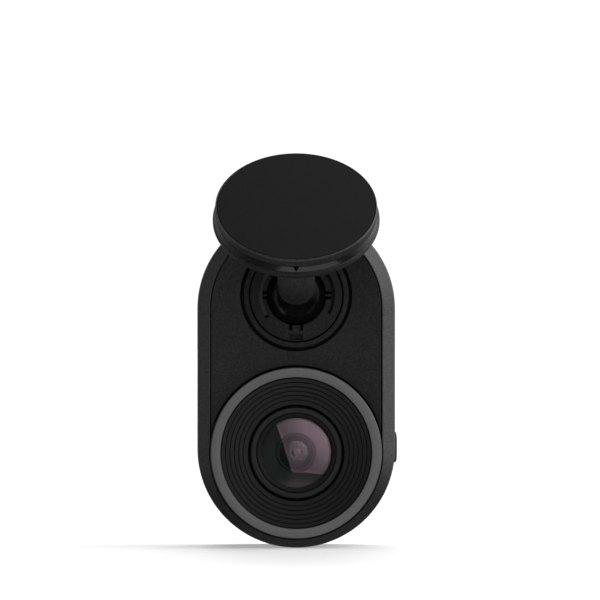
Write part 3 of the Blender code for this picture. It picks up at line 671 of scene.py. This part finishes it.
def make_rear_cover(looks):
    """Cover with a rounded edge and a spigot that fits in the shell, drilled for light and sound."""
    radius = BODY_RADIUS / MM
    back = depth_of("rear_cover", "back")
    seam = depth_of("main_housing", "back") + 0.22
    wall, rounding, steps = 1.6, 1.6, 10
    spigot_in, spigot_out, spigot_front = radius - 2.6, radius - 1.85, seam - 1.5
    outline = [
        (0.001, back - wall, 0),
        (spigot_in, back - wall, 0.2),
        (spigot_in, spigot_front, 0.1),
        (spigot_out, spigot_front, 0.2),
        (spigot_out, seam, 0),
        (radius, seam, 0.12),
    ]
    outline = rounded(outline, closed=False)
    for i in range(steps + 1):
        a = math.pi / 2 * i / steps
        r = radius - rounding * (1 - math.cos(a))
        outline.append((r * MM, (back - rounding * (1 - math.sin(a))) * MM))
    cover = make_object("rear_shell", body_sweep(outline[1:], closed=False, cap=True))
    holes = [(middle("light_pipe"), 1.05 * MM), (middle("microphone"), 0.5 * MM)]
    speaker = middle("speaker")
    for i in range(-2, 3):
        holes.append((speaker + Vector((i * 2.0 * MM, 0, 0)), 0.5 * MM))
    for centre, hole in holes:
        drill = turned([(0, 0), (hole, 0), (hole, 40 * MM), (0, 40 * MM)], 32)
        cut(cover, drill, Matrix.Translation((centre.x, BALL.y + 15 * MM, centre.z)))
    add_piece("rear_shell", cover, looks["shell"], "camera", ["rear_cover"])
    soften_edges(cover, 0.06)


# ---------------------------------------------------------------- ball socket


def make_socket(looks):
    """Slotted ring with its raised arc, step and latch window, and the collar round it."""
    hole = BALL_RADIUS / MM - 0.24
    ring = [
        (5.05, -0.4, 0),
        (4.98, -1.1, 0),
        (hole + 0.02, -1.95, 0.05),
        (hole + 0.04, -2.15, 0.08),
        (6.05, -2.2, 0.03),
        (6.05, -2.12, 0.03),
        (7.26, -2.12, 0.12),
        (7.26, -0.4, 0),
    ]
    ring = make_object("socket_ring_skin", turned(rounded(ring)))
    half, side_offset, upright_offset = 0.25 * MM, 0.40 * MM, 0.85 * MM
    low, high = -3.0 * MM, 0.2 * MM
    for side in (-1, 1):
        near, far = sorted((side * 4.0 * MM, side * 5.56 * MM))
        for z in (-side_offset, side_offset):
            cut(ring, box_shape((near, low, z - half), (far, high, z + half)))
        for x in (-upright_offset, upright_offset):
            cut(ring, box_shape((x - half, low, near), (x + half, high, far)))
    window = box_shape((-1.05 * MM, low, -7.05 * MM), (1.05 * MM, -1.4 * MM, -6.1 * MM))
    cut(ring, window)
    for degrees in (-144.0, 32.0):
        notch = box_shape((5.4 * MM, low, -0.22 * MM), (6.0 * MM, -0.9 * MM, 0.22 * MM))
        cut(ring, notch, Matrix.Rotation(math.radians(-degrees), 4, "Y"))
    cut(ring, arc_bar(5.6, 6.12, -3.0, -1.2, -30.0, 45.0))
    ring.data.transform(AT_BALL)
    add_piece("socket_ring_skin", ring, looks["socket"], "camera", ["socket_ring"])
    soften_edges(ring, 0.03, 1)

    # The raised arc at the left takes the lighter copy of the socket plastic, which paints light on
    # its face.
    ridge = arc_bar(5.28, 5.86, -2.32, -2.1, 118.0, 212.0)
    add_piece("socket_ridge", ridge, looks["ridge"], "camera", [], AT_BALL)
    rib = box_shape((4.55 * MM, -2.18 * MM, -0.13 * MM), (5.6 * MM, -1.9 * MM, 0.13 * MM))
    for number, side in enumerate((0.0, 180.0)):
        copy = rib.copy()
        place = AT_BALL @ Matrix.Rotation(math.radians(side), 4, "Y")
        name = f"socket_rib_{number + 1}"
        add_piece(name, copy, looks["socket"], "camera", [], place)
    rib.free()

    collar = [
        (0.0, 7.5, 0),
        (7.44, 7.5, 0.2),
        (7.44, -2.42, 0.12),
        (8.26, -2.42, 0.16),
        (8.26, -0.4, 0.1),
        (10.2, -0.4, 0.1),
        (10.2, 0.0, 0.1),
        (8.1, 0.0, 0.1),
        (8.1, 8.3, 0.3),
        (0.0, 8.3, 0),
    ]
    collar = turned(rounded(collar, closed=False))
    add_piece("socket_collar_skin", collar, looks["socket"], "camera", ["socket_collar"],
              AT_BALL)


def arc_bar(inner, outer, front, back, start, end):
    """A bar of rectangular section bent round the socket's axis; angles in degrees, up from +X."""
    steps = 40
    rings = []
    for i in range(steps + 1):
        a = math.radians(start + (end - start) * i / steps)
        corners = [(inner, back), (inner, front + 0.06), (inner + 0.06, front),
                   (outer - 0.06, front), (outer, front + 0.06), (outer, back)]
        rings.append([(r * MM * math.cos(a), d * MM, r * MM * math.sin(a)) for r, d in corners])
    return solid(rings)


# ---------------------------------------------------------------- lens


def make_bezel(looks):
    """Flat-faced metal ring with small chamfers. Faces that turn away from the front take a darker
    copy of the ring's metal, which paints shade on the chamfers and sides.
    """
    outer = RING_RADIUS / MM
    inner = 11.84
    front, back = depth_of("bezel_ring", "front"), depth_of("bezel_ring", "back")
    outline = [
        (inner, front + 0.10, 0.06),
        (inner + 0.10, front, 0.06),
        (outer - 0.12, front, 0.08),
        (outer, front + 0.14, 0.08),
        (outer, back, 0.1),
        (inner, back, 0.1),
    ]
    shape = turned(rounded(outline), FINE_SIDES)
    ring = add_piece("bezel_ring_skin", shape, looks["ring"], "camera", ["bezel_ring"],
                     AT_LENS)
    ring.data.materials.append(looks["ring_edge_shade"])
    # Faces that turn away from the front take the darker copy; this paints shade on the chamfers and
    # sides.
    facing = -0.97
    for face in ring.data.polygons:
        face.material_index = 0 if face.normal.y < facing else 1


def make_hood(looks):
    """Six sloped terraces, each ending in a fine groove."""
    outer, inner, terraces = 11.74, 7.6, 6
    step, slope, groove, groove_width = 0.37, 0.22, 0.64, 0.12
    front = depth_of("lens_hood", "front")
    width = (outer - inner) / terraces
    outline = []
    for i in range(terraces):
        r = outer - i * width
        depth = front + step * i
        outline += [
            (r, depth, 0.04),
            (r - width + groove_width + 0.03, depth + slope, 0.03),
            (r - width + groove_width, depth + groove, 0),
            (r - width, depth + groove, 0),
        ]
    outline[-2:] = [(inner, front + step * terraces - 0.1, 0.05)]
    outline += [
        (inner, 1.5, 0.1),
        (8.8, 1.5, 0.1),
        (8.8, -1.3, 0.1),
        (13.4, -1.3, 0.1),
        (13.4, -1.88, 0.1),
        (outer, -1.88, 0.05),
    ]
    shape = turned(rounded(outline), 200)
    add_piece("lens_hood_skin", shape, looks["hood"], "camera", ["lens_hood"],
              AT_LENS)


def make_barrel(looks):
    """Barrel that holds the lens group, and the threaded ring that retains the front glass."""
    front = depth_of("lens_barrel", "front")
    outline = [
        (6.32, front + 0.08, 0.05),
        (6.40, front, 0.05),
        (7.05, front, 0.08),
        (7.18, front + 0.14, 0.08),
        (7.18, 2.6, 0.1),
        (6.0, 2.6, 0.1),
        (6.0, 10.4, 0.1),
        (4.3, 10.4, 0.1),
        (4.3, 2.0, 0.1),
        (5.9, 2.0, 0.1),
        (5.9, -0.5, 0.05),
        (6.32, -0.5, 0.05),
    ]
    shape = turned(rounded(outline))
    add_piece("barrel_skin", shape, looks["barrel"], "camera", ["lens_barrel"],
              AT_LENS)
    retainer = [
        (5.74, -0.75, 0.03),
        (5.74, -1.12, 0.03),
        (5.55, -1.26, 0.02),
        (5.55, -1.34, 0.03),
        (5.95, -1.42, 0.05),
        (6.20, -1.42, 0.06),
        (6.20, -0.75, 0.03),
    ]
    shape = turned(rounded(retainer))
    add_piece("retainer_skin", shape, looks["retainer"], "camera", ["lens_retainer"],
              AT_LENS)


def sphere_face(vertex, size, edge, steps=40):
    """Outline of a spherical face from the axis to its edge radius, bulging forwards, in metres."""
    span = math.asin(edge / size)
    angles = [span * i / steps for i in range(steps + 1)]
    return [(size * math.sin(a) * MM, (vertex + size * (1 - math.cos(a))) * MM) for a in angles]


def off_axis(face):
    """How far a face's middle lies from the lens axis."""
    return math.hypot(face.center.x, face.center.z - LENS.z)


def make_glass(looks):
    """Front meniscus with coated faces, the cell behind it, and the small lens at its heart."""
    rim, back_edge, clear, thickness, seat = 5.6, 5.42, 2.98, 0.85, 1.7
    facing = -0.5
    vertex = depth_of("front_lens", "front")
    front = sphere_face(vertex, 14.0, rim)
    behind = sphere_face(vertex + thickness, 13.1, back_edge)
    outline = front + [(rim * MM, seat * MM), (back_edge * MM, seat * MM)] + behind[::-1]
    glass = add_piece("front_glass", turned(outline), looks["glass"], "camera", ["front_lens"],
                      AT_LENS, angle=40)
    for look in ("glass_back", "glass_clear", "mark"):
        glass.data.materials.append(looks[look])
    for face in glass.data.polygons:
        if face.normal.y > facing:
            across = off_axis(face) / MM
            face.material_index = 3 if across > back_edge - 0.01 else 1 if across > clear else 2

    # The cell's pale teal colour paints the inner coatings' teal reflection, seen through the front
    # glass.
    cell = [
        (5.36, 0.20, 0.05),
        (5.1, 0.40, 0.2),
        (3.2, 1.75, 0.1),
        (2.98, 1.95, 0.03),
        (2.98, 2.1, 0.03),
        (5.36, 2.1, 0.05),
    ]
    shape = turned(rounded(cell), SMALL_SIDES)
    add_piece("lens_cell", shape, looks["cell_wall"], "camera", [], AT_LENS)
    ring = [(2.62, 1.62, 0.06), (2.92, 1.62, 0.06), (2.92, 2.25, 0.03), (2.62, 2.25, 0.03)]
    shape = turned(rounded(ring), SMALL_SIDES)
    add_piece("lens_cell_ring", shape, looks["cell_wall"], "camera", [], AT_LENS)

    bump, flat, small, outer, clearance = 0.70, 1.02, 2.58, 3.7, 1.02
    heart = sphere_face(2.30, 3.1, bump, 12)
    step = heart[-1][1] + 0.04 * MM
    heart += [(bump * clearance * MM, step), (flat * MM, step)]
    shoulder = sphere_face(0.0, 5.2, small, 32)
    shoulder = [point for point in shoulder if point[0] > flat * MM * clearance]
    drop = heart[-1][1] - shoulder[0][1]
    heart += [(r, d + drop) for r, d in shoulder]
    outline = heart + [(outer * MM, heart[-1][1]), (outer * MM, 4.0 * MM), (0.0, 4.0 * MM)]
    shape = turned(outline, SMALL_SIDES)
    second = add_piece("second_glass", shape, looks["heart"], "camera", ["second_lens"],
                       AT_LENS, angle=40)
    second.data.materials.append(looks["heart_top"])
    for face in second.data.polygons:
        if face.normal.y < facing and off_axis(face) < bump * MM:
            face.material_index = 1


# ---------------------------------------------------------------- side controls


def make_key(looks):
    """Domed key with a rounded edge, flange and post."""
    low, high = low_corner("side_button"), high_corner("side_button")
    centre = (low + high) / 2
    top = high.x
    half_y, half_z, corner, flange, flange_depth = 4.0, 2.45, 1.25, 0.8, 0.7
    inner = (BODY_RADIUS - top) / MM - 2.2
    dome = [(1.9, 0.0), (1.2, -0.02), (0.6, -0.06), (0.25, -0.13), (0.08, -0.24), (0.0, -0.42)]
    rings = []
    for inset, rise in dome:
        rings.append(rounded_rectangle((half_y - inset) * MM, (half_z - inset) * MM,
                                       max(corner - inset * 0.5, 0.3) * MM, rise * MM))
    for grow, depth in ((0.0, inner), (flange, inner), (flange, inner - flange_depth)):
        rings.append(rounded_rectangle((half_y + grow) * MM, (half_z + grow) * MM,
                                       corner * MM, depth * MM))
    post = (low.x - top) / MM
    for depth in (inner - flange_depth, post):
        rings.append(rounded_rectangle(1.0 * MM, 1.0 * MM, 0.6 * MM, depth * MM))
    shape = solid(rings)
    place = Matrix.Translation((top, centre.y, centre.z))
    add_piece("key_cap", shape, looks["button"], "key", ["side_button"], place)


def make_ports(looks):
    """Pressed shell of the power port with its tongue, and the card with its gripping ridge."""
    port = middle("usb_port")
    at_port = Matrix.Translation((0, port.y, port.z))
    low, high = low_corner("usb_port"), high_corner("usb_port")
    half_y, half_z, wall = (high.y - low.y) / 2, (high.z - low.z) / 2, 0.3 * MM
    shell = [rounded_rectangle(half_y, half_z, 0.7 * MM, x) for x in (low.x, high.x)]
    shell = make_object("port_shell", solid(shell), at_port)
    reach = low.x + 0.8 * MM, 20 * MM
    inside = [rounded_rectangle(half_y - wall, half_z - wall, 0.5 * MM, x) for x in reach]
    cut(shell, solid(inside), at_port)
    tongue = box_shape((low.x + 0.4 * MM, -0.45 * MM, -2.4 * MM),
                       (high.x - 0.9 * MM, 0.15 * MM, 2.4 * MM))
    cut(shell, tongue, at_port, "UNION")
    add_piece("port_shell", shell, looks["steel"], "camera", ["usb_port"])
    soften_edges(shell, 0.05)

    low, high = low_corner("memory_card"), high_corner("memory_card")
    length, width = (high.x - low.x), (high.z - low.z)
    notch, nose = 1.3 * MM, 0.5 * MM
    outline = [
        (0.0, -width / 2 + nose), (-nose, -width / 2), (-length + nose, -width / 2),
        (-length, -width / 2 + nose), (-length, width / 2 - notch),
        (-length + 6.0 * MM, width / 2 - notch), (-length + 7.0 * MM, width / 2),
        (-nose, width / 2), (0.0, width / 2 - nose),
    ]
    thick = high.y - low.y
    card = make_object("card_body", solid([[(x, y, z) for x, z in outline] for y in (0.0, thick)]))
    ridge_half = width / 2 - 0.6 * MM
    ridge = box_shape((-1.2 * MM, -0.18 * MM, -ridge_half), (-0.4 * MM, 0.2 * MM, ridge_half))
    cut(card, ridge, operation="UNION")
    card.data.transform(Matrix.Translation((high.x, low.y, (low.z + high.z) / 2)))
    add_piece("card_body", card, looks["card"], "card", ["memory_card"])
    soften_edges(card, 0.08)


def make_light_pipe(looks):
    """Pale rod with a domed end, which shows the status light at the back."""
    sides = 48
    centre = middle("light_pipe")
    low, high = low_corner("light_pipe"), high_corner("light_pipe")
    radius, length = half_width("light_pipe") / MM, (high.y - low.y) / MM
    outline = [
        (0, 0, 0),
        (radius, 0, 0.1),
        (radius, length - 0.12, 0.2),
        (radius * 0.6, length, 0.5),
        (0, length, 0),
    ]
    shape = turned(rounded(outline, closed=False), sides)
    place = Matrix.Translation((centre.x, low.y, centre.z))
    add_piece("light_pipe_skin", shape, looks["lamp"], "camera", ["light_pipe"],
              place)


def dress_hidden_nodes(looks):
    """Procedural materials for the CAD nodes that stay."""
    wanted = {
        "aperture_stop": "hood", "third_lens": "inner_glass", "fourth_lens": "inner_glass",
        "lens_holder": "chip", "ir_filter": "inner_glass", "image_sensor": "chip",
        "camera_board": "board", "module_screw_1": "steel", "module_screw_2": "steel",
        "flex_cable": "film", "main_board": "board", "processor": "chip", "memory_chip": "chip",
        "shield_can": "steel", "microphone": "steel", "speaker": "chip", "status_led": "lamp",
        "backup_battery": "cell", "wifi_antenna": "copper", "card_connector": "steel",
        "switch_board": "board", "side_switch": "steel", "spring_washer": "steel",
        "socket_cup": "socket",
    }
    for node, look in wanted.items():
        materials = frame["nodes"][node].data.materials
        materials.clear()
        materials.append(looks[look])


# ---------------------------------------------------------------- studio


def add_floor():
    """Flat under and behind the object; in front it falls away very gently."""
    reach, front, ease, steps = 6.0, 1.2, 0.015, 12
    fall = math.tan(math.radians(FLOOR_FALL))
    profile = [(reach, 0.0), (0.0, 0.0)]
    for i in range(1, steps + 1):
        ahead = ease * i / steps
        profile.append((-ahead, -fall * ahead**2 / (2 * ease)))
    profile.append((-front, -fall * (front - ease / 2)))
    base = FLOOR - 0.01 * MM
    rows = [[(x, y, base + z) for x in (-reach, -1.0, 0.0, 1.0, reach)] for y, z in profile]
    shape = bmesh.new()
    grid = [[shape.verts.new(point) for point in row] for row in rows]
    for first, second in zip(grid, grid[1:]):
        for i in range(len(first) - 1):
            shape.faces.new((first[i], second[i], second[i + 1], first[i + 1]))
    floor = make_object("studio_floor", shape)
    floor.data.shade_smooth()
    n = Nodes("floor_paper")
    drift = n.noise(40.0, 2.0)
    n.drive("Base Color", n.tint(drift, (0.61, 0.61, 0.61), (0.63, 0.63, 0.63)))
    n.drive("Roughness", n.spread(drift, 0.9, 1.0))
    n.set("Specular IOR Level", 0.0)
    floor.data.materials.append(n.material)
    floor.visible_glossy = False
    floor.visible_transmission = False
    floor.visible_shadow = False
    return floor


def add_area(name, place, aim, size, power):
    data = bpy.data.lights.new(name, "AREA")
    data.shape = "RECTANGLE"
    data.size, data.size_y = size
    data.energy = power
    lamp = bpy.data.objects.new(name, data)
    bpy.context.collection.objects.link(lamp)
    lamp.location = place
    lamp.rotation_mode = "QUATERNION"
    lamp.rotation_quaternion = (Vector(aim) - Vector(place)).to_track_quat("-Z", "Y")
    lamp.visible_camera = False
    return lamp


def add_world():
    """White to the camera; to everything else, a studio with a bright right and a dim front."""
    world = bpy.data.worlds.new("studio")
    world.use_nodes = True
    tree = world.node_tree
    tree.nodes.clear()
    out = tree.nodes.new("ShaderNodeOutputWorld")
    mix = tree.nodes.new("ShaderNodeMixShader")
    path = tree.nodes.new("ShaderNodeLightPath")
    seen = tree.nodes.new("ShaderNodeBackground")
    seen.inputs["Color"].default_value = (1, 1, 1, 1)
    seen.inputs["Strength"].default_value = 1.05
    lit = tree.nodes.new("ShaderNodeBackground")
    where = tree.nodes.new("ShaderNodeTexCoord").outputs["Generated"]

    def math_node(operation, first, second=None, third=None):
        node = tree.nodes.new("ShaderNodeMath")
        node.operation = operation
        for socket, value in zip(node.inputs, (first, second, third)):
            if value is None:
                continue
            if isinstance(value, (int, float)):
                socket.default_value = value
            else:
                tree.links.new(value, socket)
        return node.outputs[0]

    split = tree.nodes.new("ShaderNodeSeparateXYZ")
    tree.links.new(where, split.inputs[0])

    def rise(direction, start, end, strength=1.0):
        """Rises smoothly to its strength as the reach along a direction goes from start to end."""
        x, y, z = direction
        dot = math_node("MULTIPLY", split.outputs[0], x)
        dot = math_node("MULTIPLY_ADD", split.outputs[1], y, dot)
        dot = math_node("MULTIPLY_ADD", split.outputs[2], z, dot)
        ramp = tree.nodes.new("ShaderNodeMapRange")
        ramp.interpolation_type = "SMOOTHSTEP"
        ramp.inputs["From Min"].default_value = start
        ramp.inputs["From Max"].default_value = end
        ramp.inputs["To Max"].default_value = strength
        tree.links.new(dot, ramp.inputs["Value"])
        return ramp.outputs[0]

    def lobe(direction, start, end, strength):
        """Brightness round one direction."""
        return rise(Vector(direction).normalized(), start, end, strength)

    def edge(x, y, z, start, end):
        """One side of a card of light, as a plane that cuts the sphere of directions."""
        return rise((x, y, z), start, end)

    def card(edges):
        shape = edge(*edges[0])
        for settings in edges[1:]:
            shape = math_node("MULTIPLY", shape, edge(*settings))
        return shape

    total = lobe(*WORLD_LOBES[0])
    for settings in WORLD_LOBES[1:]:
        total = math_node("ADD", total, lobe(*settings))
    total = math_node("ADD", total, WORLD_BASE)

    glow = math_node("ADD", lobe(*SOFTBOX_GLOW), SOFTBOX_LEVEL + SOFTBOX_RIM)
    inside = [(*e[:3], e[3] + RIM_WIDTH, e[4] + RIM_WIDTH) for e in SOFTBOX_EDGES[:2]]
    glow = math_node("MULTIPLY_ADD", card(inside), -SOFTBOX_RIM, glow)
    glow = math_node("MULTIPLY_ADD", edge(*FAR_STRIP), FAR_STRIP_LEVEL, glow)
    total = math_node("MULTIPLY_ADD", card(SOFTBOX_EDGES), glow, total)
    total = math_node("MULTIPLY_ADD", card(TABLE_EDGES), TABLE_LEVEL, total)
    tree.links.new(total, lit.inputs["Strength"])
    tree.links.new(path.outputs["Is Camera Ray"], mix.inputs[0])
    tree.links.new(lit.outputs[0], mix.inputs[1])
    tree.links.new(seen.outputs[0], mix.inputs[2])
    tree.links.new(mix.outputs[0], out.inputs["Surface"])
    bpy.context.scene.world = world


def light_only(lamp, items):
    """Limits a lamp to the given objects."""
    receivers = bpy.data.collections.new(lamp.name + "_only")
    for item in items:
        receivers.objects.link(item)
    lamp.light_linking.receiver_collection = receivers


def add_lights(floor):
    """Two soft suns for the floor, and small cards for the band, panel, stem and ball."""
    for name, energy, lean, shadow in FLOOR_SUNS:
        sun = bpy.data.lights.new(name, "SUN")
        sun.energy = energy
        sun.angle = math.radians(SUN_ANGLE)
        sun.use_shadow = shadow
        lamp = bpy.data.objects.new(name, sun)
        bpy.context.collection.objects.link(lamp)
        lamp.rotation_euler = (math.radians(lean), 0, 0)
        lamp.location = (0, 0.3, 0.6)
        light_only(lamp, [floor])

    band = bpy.data.objects["disc_band"]
    centre = Vector((22.0, -28.0, -51.0)) * MM
    aim = centre + Vector((0, 0, 1))
    card = add_area("band_card", centre, aim, (87 * MM, 50 * MM), BAND_LIGHT)
    card.rotation_mode = "XYZ"
    card.rotation_euler = (math.pi, 0, 0)
    light_only(card, [band])
    centre, aim = Vector((-70, -60, 10)) * MM, Vector((-10 * MM, FRONT, -8 * MM))
    card = add_area("panel_card", centre, aim, (60 * MM, 60 * MM), PANEL_LIGHT)
    light_only(card, [bpy.data.objects["front_panel_skin"]])
    aim = BALL + Vector((0, -6 * MM, 3 * MM))
    for side in (-1, 1):
        centre = Vector((side * 60, -28, BALL.z / MM + 6)) * MM
        card = add_area(f"stem_card_{side}", centre, aim, (20 * MM, 30 * MM), STEM_LIGHT)
        light_only(card, [bpy.data.objects["stem"]])
    back = math.radians(BALL_CARD_BACK)
    for name, degrees, length, power in BALL_CARDS:
        a = math.radians(degrees)
        way = Vector((math.cos(a) * math.sin(back), -math.cos(back), math.sin(a) * math.sin(back)))
        card = add_area(name, BALL + way * 60 * MM, BALL, (5 * MM, length * MM), power)
        light_only(card, [bpy.data.objects["ball"]])


def add_camera():
    """Square-on view from far away, so depth hardly shows."""
    camera = bpy.data.cameras.new("view")
    camera.sensor_width = 36.0
    camera.lens = camera.sensor_width * CAMERA_DISTANCE / CAMERA_FIELD
    camera.clip_end = 20.0
    item = bpy.data.objects.new("view", camera)
    bpy.context.collection.objects.link(item)
    item.location = (CAMERA_SIDE, FRONT - CAMERA_DISTANCE, CAMERA_HEIGHT)
    item.rotation_euler = (math.radians(90), 0, 0)
    bpy.context.scene.camera = item


def build():
    looks = make_looks()
    add_camera()
    make_disc(looks)
    make_stem(looks)
    make_ball(looks)
    make_housing(looks)
    make_panel(looks)
    make_rear_cover(looks)
    make_socket(looks)
    make_bezel(looks)
    make_hood(looks)
    make_barrel(looks)
    make_glass(looks)
    make_key(looks)
    make_ports(looks)
    make_light_pipe(looks)
    dress_hidden_nodes(looks)
    add_world()
    add_lights(add_floor())
    bpy.context.scene.view_settings.view_transform = "Standard"


build()
